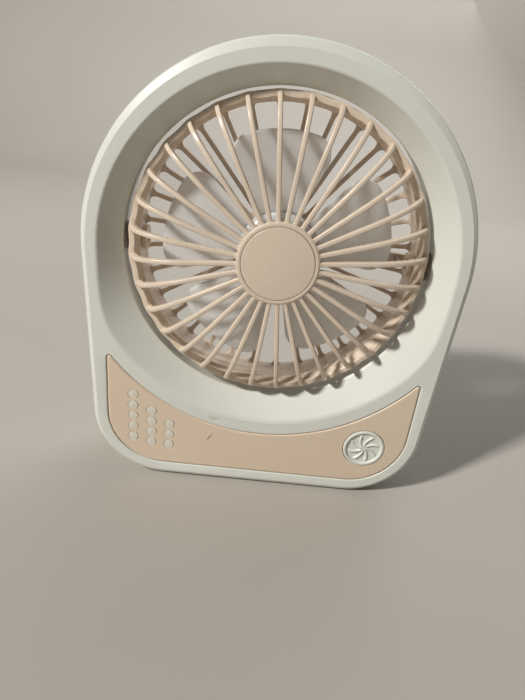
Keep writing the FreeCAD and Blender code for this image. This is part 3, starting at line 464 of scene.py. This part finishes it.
CREAM = moulded("cream_plastic", (0.745, 0.755, 0.69), (0.72, 0.728, 0.66))
CREAM_FRONT = moulded("cream_front", (0.745, 0.755, 0.69), (0.72, 0.728, 0.66), mark=smudge)
PEACH = moulded("peach_plastic", (0.72, 0.60, 0.48), (0.70, 0.58, 0.46), rough=(0.22, 0.32))
PANEL = moulded("peach_panel", (0.75, 0.61, 0.465), (0.73, 0.59, 0.445), rough=(0.34, 0.44), mark=scratch)
MILKY = milky("milky_plastic")
STUD = moulded("stud_plastic", (0.75, 0.70, 0.60), (0.73, 0.68, 0.58), rough=(0.22, 0.30))
STEEL = metal("plated_steel", (0.62, 0.62, 0.63), 0.25, brushed=12.0)
BRONZE = metal("sintered_bronze", (0.60, 0.40, 0.20), 0.45)
NYLON = plain("nylon", (0.78, 0.75, 0.68), 0.45)
BLACK = plain("black_plastic", (0.025, 0.025, 0.027), 0.40)
WHITE = plain("white_plastic", (0.72, 0.72, 0.69), 0.40)
BOARD = plain("solder_mask", (0.02, 0.16, 0.07), 0.25, scale=300.0, depth=0.00002, specular=0.5,
              second=(0.03, 0.20, 0.09))
MAGNET = plain("ferrite", (0.06, 0.06, 0.065), 0.50, scale=1200.0)
WRAP = plain("battery_wrap", (0.04, 0.16, 0.38), 0.20, scale=90.0, depth=0.00002, specular=0.5)
FOAM = plain("foam", (0.05, 0.05, 0.05), 0.90, scale=1500.0, depth=0.0002, specular=0.2)
RUBBER = plain("foot_rubber", (0.40, 0.37, 0.33), 0.70, scale=900.0, depth=0.00005, specular=0.3)
LEAD = plain("lead_insulation", (0.50, 0.42, 0.34), 0.35, scale=500.0)
BY_SLOT = {"cream_plastic": CREAM, "peach_plastic": PEACH, "milky_plastic": MILKY, "nylon": NYLON,
           "steel": STEEL, "black_plastic": BLACK, "white_plastic": WHITE, "board": BOARD,
           "bronze": BRONZE, "magnet": MAGNET, "battery_wrap": WRAP, "foam_pad": FOAM,
           "foot_rubber": RUBBER, "lead_insulation": LEAD}


def dress_cad_nodes():
    """Gives every CAD part that stays its own procedural material."""
    for part in frame["record"]["subparts"]:
        data = nodes[part["node"]].data
        data.materials.clear()
        data.materials.append(BY_SLOT[part["material_slot"]])


# ---------------------------------------------------------------- stand

def off_centre(angle, radius, centre_z):
    """Distance from the head's axis to a circle whose centre is at another height."""
    drop = HEAD_Z - centre_z
    return -math.cos(angle) * drop + math.sqrt(radius ** 2 - (drop * math.sin(angle)) ** 2)


def outline_radius(angle, inset):
    """Distance from the head's axis to the arched outline, whose sides lean in towards the foot."""
    side, up = abs(math.sin(angle)), math.cos(angle)
    half, lean = HALF_WIDTH - inset, math.sin(TAPER)
    drop = HEAD_Z - ARCH_Z
    arch = off_centre(angle, half, ARCH_Z)
    if drop + arch * up >= -half * lean:
        return arch
    centre_z = FOOT + CORNER_R
    centre_x = (HALF_WIDTH - CORNER_R - (ARCH_Z - centre_z) * lean) / math.cos(TAPER)
    facing = side * math.cos(TAPER) - up * lean
    flank = (half + drop * lean) / facing if facing > 0.01 else FAR
    if HEAD_Z + flank * up >= centre_z - (CORNER_R - inset) * lean:
        return flank
    base = (HEAD_Z - FOOT - inset) / -up
    if base * side <= centre_x:
        return base
    centre = Vector((centre_x, centre_z - HEAD_Z))
    along = centre.x * side + centre.y * up
    return along + math.sqrt(along ** 2 - centre.length_squared + (CORNER_R - inset) ** 2)


def rim_radius(angle):
    """Distance from the head's axis to the dish's edge: an upper and a lower arc, blended where they meet."""
    side, up = abs(math.sin(angle)), math.cos(angle)
    drop, rise = HEAD_Z - RIM_TOP_Z, RIM_LOW_Z - HEAD_Z
    upper = -up * drop + math.sqrt(RIM_R ** 2 - (drop * side) ** 2)
    if upper * up < -drop:
        upper = RIM_R / side
    lower = up * rise + math.sqrt(RIM_LOW_R ** 2 - (rise * side) ** 2)
    return (upper ** -RIM_BLEND + lower ** -RIM_BLEND) ** (-1 / RIM_BLEND)


def tunnel_radius(angle, y):
    """Distance from the head's axis to the wall of the opening, which widens to the back."""
    return off_centre(angle, LIP_R + TUNNEL_SLOPE * (y - LIP_Y), LIP_Z)


def parting(sign):
    """(inset, y) pairs of the fine groove where the two shells meet."""
    return [(GROOVE_DEPTH, SPLIT_Y), (0.05, SPLIT_Y + sign * 0.12), (0.0, SPLIT_Y + sign * GROOVE_REACH),
            (0.0, SPLIT_Y + sign * 0.6)]


def front_shoulder():
    """A rounded edge, then a gently sloping facet that meets the flat land at a crisp crease."""
    slope = math.tan(FACET_SLOPE)
    edge = rounded([(0.0, FRONT_Y + SHOULDER_START), (0.0, FRONT_Y + FRONT_ROUND * slope, EDGE_R),
                    (FRONT_ROUND, FRONT_Y)], 8)
    crease = [(FRONT_ROUND - CREASE_HALF, FRONT_Y + CREASE_HALF * slope), (FRONT_ROUND, FRONT_Y),
              (FRONT_ROUND + CREASE_HALF, FRONT_Y)]
    return parting(-1) + edge[:-1] + crease


def back_shoulder():
    """A quarter round from the side wall to the flat back."""
    start = BACK_Y - BACK_ROUND
    rows = parting(1) + [(0.0, start - 0.8), (0.0, start - 0.3)]
    for k in range(10):
        turn = math.radians(10 * k)
        rows.append((BACK_ROUND * (1 - math.cos(turn)), BACK_Y - BACK_ROUND * (1 - math.sin(turn))))
    return rows + [(BACK_ROUND + CREASE_HALF, BACK_Y)]


def widen(angle):
    """The front shoulder is narrow down the sides and wide over the top."""
    return SIDE_SHARE + TOP_SHARE * max(math.cos(angle), 0.0) ** TOP_POWER


def shell(outer, inner, inside, scale=lambda angle: 1.0):
    """A hollow shell round the opening, made of one closed profile at each angle."""
    skin = Skin()
    columns = []
    for angle in spread(SHELL_COLUMNS):
        wide = scale(angle)
        profile = []
        for inset, y in outer:
            profile.append((outline_radius(angle, inset * wide if inset > FIXED_INSET else inset), y))
        profile += inner(angle)
        profile += [(outline_radius(angle, inset), y) for inset, y in inside]
        columns.append([polar(r, angle, y) for r, y in profile])
    skin.grid(columns, closed=True)
    return skin


def front_inner(angle):
    """Flat land, soft crease, dish, rounded lip, tunnel, and the same again inside the wall."""
    rim = rim_radius(angle)
    low = (1 - math.cos(angle)) / 2
    lip, split_r = tunnel_radius(angle, LIP_Y), tunnel_radius(angle, SPLIT_Y)
    front = rounded([(rim + 1.6, FRONT_Y), (rim, FRONT_Y, RIM_SOFT_TOP + RIM_SOFT_LOW * low ** 2),
                     (lip - 0.25, LIP_Y, LIP_ROUND), (split_r, SPLIT_Y - GROOVE_REACH)], 6)
    back = [(split_r + GROOVE_DEPTH, SPLIT_Y), (split_r + WALL, SPLIT_Y), (lip + WALL + 0.4, LIP_Y + WALL)]
    return front + back + [(rim + RIM_BACKING, FLOOR_Y)]


def rear_inner(angle):
    """Flat back, rounded edge and tunnel, and the same again inside the wall."""
    back_r, split_r = tunnel_radius(angle, BACK_Y), tunnel_radius(angle, SPLIT_Y)
    front = rounded([(back_r + 3.0, BACK_Y), (back_r, BACK_Y, TUNNEL_BACK_ROUND),
                     (split_r, SPLIT_Y + GROOVE_REACH)], 6)
    back = [(split_r + GROOVE_DEPTH, SPLIT_Y), (split_r + WALL, SPLIT_Y), (back_r + WALL, BACK_Y - WALL)]
    return front + back


def panel_loop(grow):
    """The panel's crescent outline, moved out by grow, as (x, z) points."""
    tip_x = PANEL_X - PANEL_TIP
    reach = PANEL_ARC_R + PANEL_TIP
    tip_z = PANEL_ARC_Z - math.sqrt(reach ** 2 - tip_x ** 2)
    edge = math.degrees(math.asin(tip_x / reach))
    corner_x, corner_z = PANEL_X - PANEL_CORNER, PANEL_LOW + PANEL_CORNER
    inward, outward, corner = PANEL_ARC_R - grow, PANEL_TIP + grow, PANEL_CORNER + grow
    right = []
    for k in range(ARC_STEPS + 1):
        turn = math.radians(180 - edge * k / ARC_STEPS)
        right.append((inward * math.sin(turn), PANEL_ARC_Z + inward * math.cos(turn)))
    for k in range(1, TIP_STEPS + 1):
        turn = math.radians(-edge + (edge + 90) * k / TIP_STEPS)
        right.append((tip_x + outward * math.sin(turn), tip_z + outward * math.cos(turn)))
    for k in range(CORNER_STEPS + 1):
        turn = math.radians(90 + 90 * k / CORNER_STEPS)
        right.append((corner_x + corner * math.sin(turn), corner_z + corner * math.cos(turn)))
    left = [(-x, z) for x, z in reversed(right[1:])]
    return right + left


def panel_rows(steps):
    """The panel's outline at each (grow, y) step."""
    return [[(x, y, z) for x, z in panel_loop(grow)] for grow, y in steps]


def stud_places():
    """The (x, z) middle of every stud, column by column."""
    return [(x, top - i * STUD_PITCH) for x, top, count in STUD_COLUMNS for i in range(count)]


def hole(cutter, radius, y0, y1, x, z, flare=0.0, count=48):
    """A round cutter from y0 to y1. A flare bevels its mouth, and then it starts a little before y0."""
    rows = [(radius, y0), (radius, y1)]
    if flare:
        rows = [(radius + flare * 1.5, y0 - OVERCUT), (radius + flare, y0), (radius, y0 + flare),
                (radius, y1)]
    cutter.grid([[polar(r, a, y, x, z) for a in spread(count)] for r, y in rows], caps=True)


def make_front_shell():
    """Front half of the stand, with the pocket for the panel and the hole behind the button."""
    inside = [(WALL, FLOOR_Y), (WALL, SPLIT_Y)]
    front = shell(front_shoulder(), front_inner, inside, widen).object("stand_front", CREAM_FRONT)
    pocket = Skin()
    pocket.grid(panel_rows([(POCKET_EDGE * 1.7, FRONT_Y - OVERCUT), (POCKET_EDGE, FRONT_Y),
                            (POCKET_EDGE * 0.5, FRONT_Y + POCKET_EDGE * 0.13),
                            (POCKET_EDGE * 0.13, FRONT_Y + POCKET_EDGE * 0.5),
                            (0.0, FRONT_Y + POCKET_EDGE), (0.0, FRONT_Y + PANEL_DEPTH)]), caps=True)
    front = carve(front, pocket)
    well = Skin()
    hole(well, BUTTON_R - BUTTON_WALL, FRONT_Y, FLOOR_Y + THROUGH, BUTTON_X, BUTTON_Z)
    place(carve(front, well), "stand", "front_housing")


def make_rear_shell():
    """Rear half of the stand, with its screw holes, charging slot and screw wells."""
    inside = [(WALL, BACK_Y - WALL), (WALL, SPLIT_Y)]
    rear = shell(back_shoulder(), rear_inner, inside).object("stand_rear", CREAM)
    cutter = Skin()
    for x, z in SCREWS:
        hole(cutter, SCREW_HOLE_R, SCREW_SEAT_Y, BACK_Y + THROUGH, x, z)
    slot = []
    for turn in spread(24):
        end_x = PORT_X + math.copysign(PORT_HALF, math.sin(turn + TINY))
        slot.append((end_x + PORT_R * math.sin(turn), PORT_Z + PORT_R * math.cos(turn)))
    cutter.grid([[(x, y, z) for x, z in slot] for y in (BACK_Y - PORT_DEPTH, BACK_Y + THROUGH)], caps=True)
    rear = carve(rear, cutter)
    wells = Skin()
    back = BACK_Y - WELL_BACK_GAP
    for x, z in SCREWS:
        wells.lathe([(WELL_BORE_R, WELL_FRONT_Y), (WELL_R, WELL_FRONT_Y), (WELL_R, back),
                     (SCREW_HOLE_R, back), (SCREW_HOLE_R, SCREW_SEAT_Y),
                     (WELL_BORE_R, SCREW_SEAT_Y)], 48, x, z)
    wells = wells.object("screw_wells", CREAM)
    place(rear, "stand", "rear_housing")
    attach(wells, "stand")


# ---------------------------------------------------------------- control panel

def make_panel():
    """The crescent panel with its rounded edge, drilled for the studs and the button."""
    skin = Skin()
    edge = [(-PANEL_GAP, FRONT_Y + PANEL_DEPTH), (-PANEL_GAP, FRONT_Y + PANEL_EDGE + 0.3)]
    for k in range(7):
        turn = math.radians(15 * k)
        edge.append((-PANEL_GAP - PANEL_EDGE * (1 - math.cos(turn)),
                     FRONT_Y + PANEL_EDGE * (1 - math.sin(turn))))
    edge.append((-PANEL_GAP - PANEL_EDGE - 0.1, FRONT_Y))
    skin.grid(panel_rows(edge), caps=True)
    panel = skin.object("panel", PANEL)
    cutter = Skin()
    behind = FRONT_Y + DRILL_DEPTH
    for x, z in stud_places():
        hole(cutter, STUD_R + STUD_GAP, FRONT_Y, behind, x, z, flare=STUD_FLARE)
    hole(cutter, BUTTON_R + BUTTON_GAP, FRONT_Y, behind, BUTTON_X, BUTTON_Z, BUTTON_FLARE, 96)
    place(carve(panel, cutter), "stand", "control_panel")


def make_studs():
    """Round studs, each with a small raised dot in the middle of its face."""
    face, foot, back = FRONT_Y - STUD_PROUD, -16.7, -15.4
    dot = face - 0.1
    profile = rounded([(0, back), (1.2, back), (1.2, foot), (STUD_R, foot), (STUD_R, face, 0.22), (2.1, face),
                       (1.2, face), (0.85, face, 0.1), (0.75, dot, 0.06), (0.4, dot), (0, dot)], 4)
    skin = Skin()
    for x, z in stud_places():
        skin.grid([[polar(r, a, y, x, z) for a in spread(48)] for r, y in profile])
    place(skin.object("studs", STUD, 30), "stand", "indicator_studs")


def vane_height(radius, angle):
    """Height of the swirl embossed in the button, whose vanes sweep clockwise outwards."""
    sweep = angle - VANE_SWEEP * radius + VANE_TURN
    pitch = 2 * math.pi / VANES
    offset = ((sweep + pitch / 2) % pitch - pitch / 2) * max(radius, 0.6)
    steep = ease(-0.55, -0.15, offset)
    gentle = 1 - ease(0.1, 1.25, offset)
    ends = ease(0.2, 1.6, radius) * (1 - ease(7.2, 8.2, radius))
    boss = 1 - ease(0.9, 1.7, radius)
    return max(VANE_HEIGHT * steep * gentle * ends, BOSS_HEIGHT * boss)


def make_button():
    """A cap with a dished, embossed face, a rolled rim and a skirt with a flange behind."""
    face = FRONT_Y - BUTTON_PROUD
    bottom, shelf = face + BUTTON_DISH, FRONT_Y + 1.5
    flange, back = -14.5, -13.5
    around = spread(384)
    rows = [[polar(0.001, a, bottom - vane_height(0, 0)) for a in around]]
    for k in range(1, BUTTON_RINGS + 1):
        radius = BUTTON_DISH_R * k / BUTTON_RINGS
        rows.append([polar(radius, a, bottom - vane_height(radius, a)) for a in around])
    rim = rounded([(BUTTON_DISH_R, bottom), (8.75, bottom, 0.2), (9.05, face, 0.3), (BUTTON_R, face, 0.55),
                   (BUTTON_R, shelf, 0.1), (8.3, shelf, 0.1), (8.3, flange, 0.1), (9.4, flange, 0.2),
                   (9.4, back, 0.2), (1.6, back, 0.2), (1.6, -12.95), (0.001, -12.95)], 5)
    rows += [[polar(r, a, y) for a in around] for r, y in rim[1:]]
    skin = Skin()
    skin.grid([[(x + BUTTON_X, y, z - HEAD_Z + BUTTON_Z) for x, y, z in row] for row in rows])
    place(skin.object("button", CREAM, 60), "button", "power_button")


# ---------------------------------------------------------------- head

def bar(path, half_at, depth, front_round, back_round):
    """One bar along +Z, swept along a path of (radius, y) points on its front face."""
    rows = []
    for i, (r, y) in enumerate(path):
        before, after = path[max(i - 1, 0)], path[min(i + 1, len(path) - 1)]
        along = Vector((after[0] - before[0], after[1] - before[1])).normalized()
        inward = Vector((-along.y, along.x))
        half = half_at(r, i / (len(path) - 1))
        section = rounded([(-half, depth, back_round), (-half, 0, front_round), (half, 0, front_round),
                           (half, depth, back_round)], 4, True)
        rows.append([(side, y + inward.y * deep, HEAD_Z + r + inward.x * deep) for side, deep in section])
    skin = Skin()
    skin.grid(rows, caps=True)
    return skin


def slot_end(radius, start, round_r):
    """Half a bar's width. The slot beside it ends at the hub in a half circle that starts at start."""
    full = math.pi * radius / BARS
    if radius <= start:
        return full
    open_half = full - BAR_HALF
    if radius < start + round_r:
        open_half = min(open_half, math.sqrt(max(round_r ** 2 - (start + round_r - radius) ** 2, 0)))
    return full - open_half


def front_half(radius, part):
    """Half a front bar's width, flared where it meets the ring."""
    return slot_end(radius, SLOT_START, SLOT_R) + BAR_FLARE * ease(0.84, 1.0, part) ** 2


def rear_front_y(radius):
    """Front face of the rear bars, which bow towards the back from the ring to the hub."""
    part = (radius - REAR_HUB_R) / (RING_R - REAR_HUB_R)
    return RING_BACK_Y - 2.5 + 4.5 * (1 - part ** 2)


def rear_half(radius, part):
    """Rear bars widen into the ring, so each window has rounded outer corners."""
    edge = RING_INNER_R + 0.3
    if radius <= edge - WINDOW_R:
        return slot_end(radius, REAR_HUB_R - 0.6, REAR_SLOT_R)
    reach = min(radius - (edge - WINDOW_R), WINDOW_R)
    return BAR_HALF + WINDOW_R - math.sqrt(WINDOW_R ** 2 - reach ** 2)


def ring_edge(angle, y):
    """The ring's outer radius: a shallow hollow between each two bars, fading to the back."""
    depth = RING_HOLLOW * (1 - ease(-10.0, -6.5, y))
    return RING_R - depth * math.cos(BARS / 2 * angle) ** 2


def bar_angles():
    """Angles of the bars, which leave straight up free."""
    return [(i + 0.5) * 2 * math.pi / BARS for i in range(BARS)]


def make_front_grille():
    """Curved bars, the ring round them and the hub they meet at, and the cap in the hub."""
    skin = Skin()
    path = smooth_path(BAR_PATH[:2], 8)[:-1] + smooth_path(BAR_PATH[1:])
    one = bar(path, front_half, BAR_DEPTH, 0.55, 0.35)
    for angle in bar_angles():
        skin.add(one.turned(angle))
    bore, face, back = CAP_R + CAP_GAP, HUB_Y + 0.15, HUB_Y + 4.0
    side = HUB_R - 0.2
    hub = rounded([(bore, HUB_Y + 2.0), (bore, face, 0.22), (17.0, face, 0.5), (side, HUB_Y + 0.5, 0.3),
                   (side, back, 0.4), (2.0, back, 0.4), (2.0, HUB_Y + 2.0)], 5, True)
    skin.lathe(hub, 160)
    step, spigot = RING_INNER_R - SPIGOT_OUTSIDE, RING_INNER_R - SPIGOT_INSIDE
    ring = rounded([(RING_R, RING_FRONT_Y, 0.7), (RING_R, RING_JOIN_Y, 0.25), (step, RING_JOIN_Y),
                    (step, RING_JOIN_Y + 1.0, 0.2), (spigot, RING_JOIN_Y + 1.0, 0.3),
                    (spigot, RING_JOIN_Y - 1.5, 0.8), (RING_INNER_R, RING_FRONT_Y + 1.8, 0.8),
                    (RING_INNER_R, RING_FRONT_Y, 0.7)], 4, True)
    columns = []
    for angle in spread(BARS * 12):
        columns.append([polar(r + (ring_edge(angle, y) - RING_R if r > RING_SKIN_R else 0), angle, y)
                        for r, y in ring])
    skin.grid(columns, closed=True)
    place(skin.object("front_cage", PEACH, 42), "head", "front_grille")
    cap = Skin()
    seat = HUB_Y + CAP_SEAT
    profile = rounded([(0, HUB_Y + 3.0), (1.5, HUB_Y + 3.0), (1.5, seat), (CAP_R, seat, 0.2),
                       (CAP_R, HUB_Y, 0.38), (0, HUB_Y)], 6)
    cap.grid([[polar(r, a, y) for a in spread(160)] for r, y in profile])
    place(cap.object("cap", PEACH, 50), "head", "hub_cap")


def make_rear_grille():
    """Rear bars, one wider bar that carries the motor lead, the ring, and the cup that holds the motor."""
    skin = Skin()
    first, last, near = REAR_HUB_R - 2.5, RING_INNER_R + 1.0, 5
    radii = [first + (last - near - first) * k / 24 for k in range(24)]
    radii += [last - near + near * k / 14 for k in range(15)]
    path = [(r, rear_front_y(r)) for r in radii]
    one = bar(path, rear_half, REAR_BAR_DEPTH, REAR_BAR_ROUND, REAR_BAR_ROUND)
    for angle in bar_angles():
        skin.add(one.turned(angle))
    wide = bar(path, lambda radius, part: LEAD_BAR_HALF, LEAD_BAR_DEPTH, REAR_BAR_ROUND, REAR_BAR_ROUND)
    skin.add(wide.turned(math.pi / 2))
    start, back = RING_JOIN_Y + 0.02, RING_BACK_Y + 0.6
    skin.lathe(rounded([(RING_R, start, 0.25), (RING_R, back, 2.0), (RING_INNER_R, back, 0.8),
                        (RING_INNER_R, start, 0.2)], 6, True), 320)
    outer, front = CUP_R + CUP_WALL, MOTOR_FRONT_Y - CUP_FLOOR
    disc = rear_front_y(REAR_HUB_R)
    cup = rounded([(CUP_BORE_R, front, 0.2), (outer, front, 0.8), (outer, disc, 0.6), (REAR_HUB_R, disc, 0.5),
                   (REAR_HUB_R, disc + REAR_BAR_DEPTH, 0.5), (outer, disc + REAR_BAR_DEPTH, 0.4),
                   (outer, REAR_HUB_Y, 0.3), (CUP_R, REAR_HUB_Y, 0.3), (CUP_R, MOTOR_FRONT_Y),
                   (CUP_BORE_R, MOTOR_FRONT_Y)], 5, True)
    skin.lathe(cup, 128)
    place(skin.object("rear_cage", PEACH, 42), "head", "rear_grille")


def blade_half(radius):
    """Half a blade's angle at a radius, with its outer corners rounded."""
    centre_r = IMPELLER_R - BLADE_CORNER
    inner = math.asin(BLADE_CORNER / centre_r)
    if radius <= centre_r * math.cos(inner):
        return BLADE_HALF
    cosine = (radius ** 2 + centre_r ** 2 - BLADE_CORNER ** 2) / (2 * radius * centre_r)
    return BLADE_HALF - inner + math.acos(min(cosine, 1.0))


def blade_sheet(radii, across, side, shrink):
    """Rows of points on one face of a blade: side is -1 in front and 1 behind, shrink draws its edge in."""
    reach = IMPELLER_R * math.sin(BLADE_HALF)
    rows = []
    for r in radii:
        inner_r = r - shrink * ease(BLADE_SOFT_R, IMPELLER_R, r)
        row = []
        for part in across:
            angle = part * max(blade_half(r) - shrink / r, 0.01)
            x, z = inner_r * math.sin(angle), inner_r * math.cos(angle)
            flat = x / reach
            y = BLADE_MID_Y + BLADE_RISE * flat + BLADE_CAMBER * (1 - flat ** 2) + side * BLADE_THICK / 2
            row.append((x, y, HEAD_Z + z))
        rows.append(row)
    return rows


def make_impeller():
    """Twisted blades with soft edges on a round hub."""
    inner, outer = BLADE_EVEN_R - BLADE_ROOT_R, IMPELLER_R - BLADE_EVEN_R
    radii = [BLADE_ROOT_R + inner * k / 16 for k in range(16)]
    radii += [BLADE_EVEN_R + outer * math.sin(math.radians(90 * k / 18)) for k in range(19)]
    across = [math.sin(math.radians(90 * k / 12)) for k in range(-12, 13)]
    one = Skin()
    loops = []
    for side, shrink in BLADE_LAYERS:
        rows = blade_sheet(radii, across, side, shrink)
        loops.append([row[0] for row in rows] + rows[-1][1:-1] + [row[-1] for row in reversed(rows)])
        if abs(side) == 1.0:
            one.grid(rows, around=False)
    one.grid(loops, around=False)
    skin = Skin()
    for i in range(BLADES):
        skin.add(one.turned(BLADE_TURN + 2 * math.pi * i / BLADES))
    front, back, wall = IMPELLER_FRONT_Y, 1.9, 1.6
    hub = rounded([(0.001, front), (IMPELLER_HUB_R, front, 3.0), (IMPELLER_HUB_R, back, 0.4),
                   (IMPELLER_HUB_R - wall, back, 0.4), (IMPELLER_HUB_R - wall, front + 1.8, 1.2),
                   (4.0, front + 1.8, 0.5), (4.0, 1.4, 0.3), (1.0, 1.4), (1.0, front + 2.2),
                   (0.001, front + 2.2)], 7)
    skin.grid([[polar(r, a, y) for a in spread(128)] for r, y in hub])
    place(skin.object("fan_wheel", MILKY, 50), "spinner", "impeller")


# ---------------------------------------------------------------- studio

def area_light(name, spot, aim, size, power, colour):
    """A square lamp that faces the point aim."""
    data = bpy.data.lights.new(name, "AREA")
    data.size, data.energy, data.color = size, power, colour
    light = bpy.data.objects.new(name, data)
    bpy.context.scene.collection.objects.link(light)
    light.location = spot
    light.rotation_euler = (Vector(aim) - Vector(spot)).to_track_quat("-Z", "Y").to_euler()


def make_studio():
    """A pale floor that curves up into a backdrop, a key light from the upper left, and weak fills."""
    sweep = rounded([(FLOOR_FRONT, 0), (WALL_Y, 0, SWEEP_R), (WALL_Y, WALL_TOP)], 24)
    floor = Skin()
    floor.grid([[(x, y, z) for y, z in sweep] for x in (-FLOOR_HALF, FLOOR_HALF)], around=False)
    ground = plain("studio_floor", (0.47, 0.435, 0.39), 0.6, scale=3.0, depth=0.0, specular=0.3,
                   second=(0.455, 0.42, 0.375))
    floor.object("floor", ground, 60)
    world = bpy.data.worlds.new("studio")
    bpy.context.scene.world = world
    world.use_nodes = True
    sky = world.node_tree.nodes["Background"]
    sky.inputs["Color"].default_value = WORLD_COLOUR
    sky.inputs["Strength"].default_value = WORLD_STRENGTH
    for light in LIGHTS:
        area_light(*light)
    bpy.context.scene.view_settings.view_transform = "Standard"


make_camera()
dress_cad_nodes()
make_front_shell()
make_rear_shell()
make_panel()
make_studs()
make_button()
make_front_grille()
make_rear_grille()
make_impeller()
make_studio()
